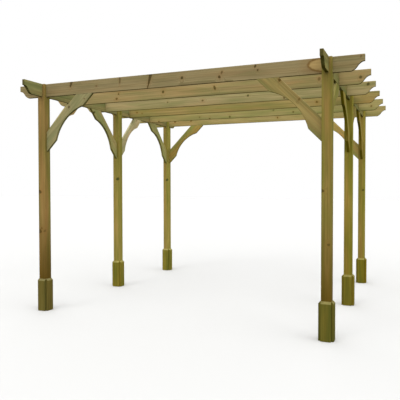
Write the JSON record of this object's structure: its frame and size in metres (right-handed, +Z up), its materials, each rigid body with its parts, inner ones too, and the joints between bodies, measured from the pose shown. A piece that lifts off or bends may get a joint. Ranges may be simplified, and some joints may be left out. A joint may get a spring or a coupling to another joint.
{
  "type": "wooden pergola",
  "caption": "Free-standing garden pergola in planed timber, with notched posts, lapped rafters and side beams with ogee ends, arched corner braces and bevelled base trims.",
  "frame": {"origin": "on the ground at the middle of the plan, under the middle of the rafters", "axes": "+X along the rafters to the right, +Y along the side beams to the back, +Z up"},
  "size_m": [3.9, 3.9, 2.62],
  "materials": {
    "post_timber": "planed and pressure-treated softwood, olive tan, satin",
    "rafter_timber": "planed and pressure-treated softwood, pale olive tan, satin",
    "side_beam_timber": "planed and pressure-treated softwood, olive tan, satin",
    "brace_timber": "planed and pressure-treated softwood, olive tan, satin",
    "trim_timber": "planed and pressure-treated softwood, darker olive, satin"
  },
  "bodies": {
    "root": {"base_trim_back_left": "trim_timber", "base_trim_back_right": "trim_timber", "base_trim_front_left": "trim_timber", "base_trim_front_right": "trim_timber", "base_trim_middle_left": "trim_timber", "base_trim_middle_right": "trim_timber", "brace_back_left": "brace_timber", "brace_back_right": "brace_timber", "brace_front_left": "brace_timber", "brace_front_right": "brace_timber", "post_back_left": "post_timber", "post_back_right": "post_timber", "post_front_left": "post_timber", "post_front_right": "post_timber", "post_middle_left": "post_timber", "post_middle_right": "post_timber", "rafter_1": "rafter_timber", "rafter_2": "rafter_timber", "rafter_3": "rafter_timber", "rafter_4": "rafter_timber", "rafter_5": "rafter_timber", "rafter_6": "rafter_timber", "side_beam_left": "side_beam_timber", "side_beam_right": "side_beam_timber", "side_brace_left_back": "brace_timber", "side_brace_left_front": "brace_timber", "side_brace_left_middle_back": "brace_timber", "side_brace_left_middle_front": "brace_timber", "side_brace_right_back": "brace_timber", "side_brace_right_front": "brace_timber", "side_brace_right_middle_back": "brace_timber", "side_brace_right_middle_front": "brace_timber"}
  },
  "joints": []
}
